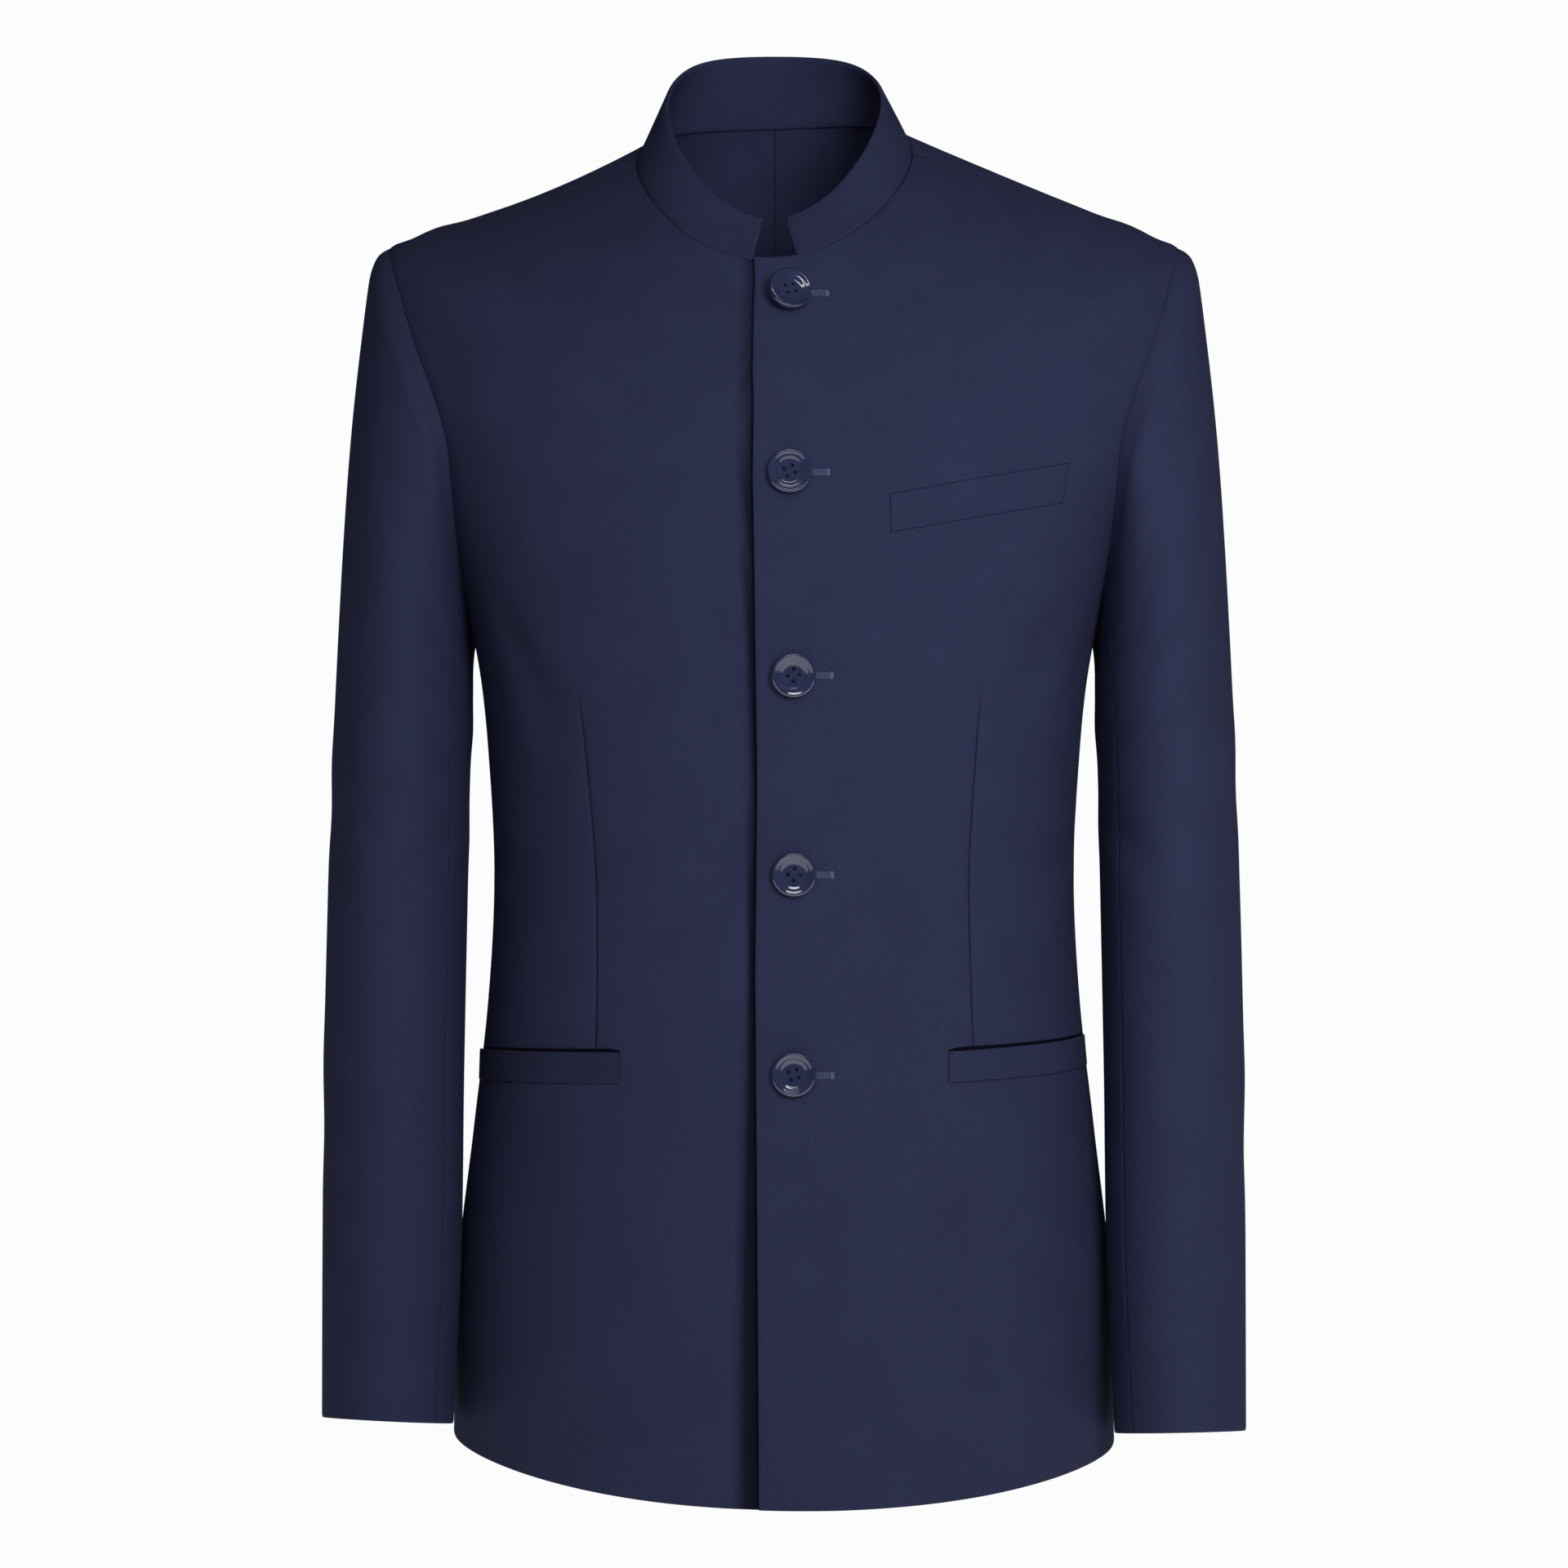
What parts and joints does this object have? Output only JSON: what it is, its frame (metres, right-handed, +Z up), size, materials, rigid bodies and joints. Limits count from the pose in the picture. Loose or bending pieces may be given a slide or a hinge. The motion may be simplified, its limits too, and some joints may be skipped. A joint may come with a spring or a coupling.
{
  "type": "mao jacket",
  "caption": "Navy men's mao jacket, filled out as worn but empty, buttoned to a stand collar, with a chest pocket, hip pockets and long sleeves.",
  "frame": {"origin": "middle of the neck opening at the height of the neck points, on the body's middle plane, where the wearer's shoulders carry the jacket", "axes": "+Z up, -Y the way the wearer faces, +X the wearer's left"},
  "size_m": [0.5018, 0.2712, 0.7922],
  "materials": {
    "navy_worsted": "matt, fine worsted wool",
    "navy_worsted_welt": "matt, fine worsted wool, doubled",
    "dark_button": "polished"
  },
  "bodies": {
    "root": {"front_left": "navy_worsted", "side_left": "navy_worsted", "back_left": "navy_worsted", "sleeve_top_left": "navy_worsted", "sleeve_under_left": "navy_worsted", "hip_welt_left": "navy_worsted_welt", "front_right": "navy_worsted", "side_right": "navy_worsted", "back_right": "navy_worsted", "sleeve_top_right": "navy_worsted", "sleeve_under_right": "navy_worsted", "hip_welt_right": "navy_worsted_welt", "collar": "navy_worsted", "chest_welt": "navy_worsted_welt", "button_1": "dark_button", "button_2": "dark_button", "button_3": "dark_button", "button_4": "dark_button", "button_5": "dark_button"}
  },
  "joints": []
}
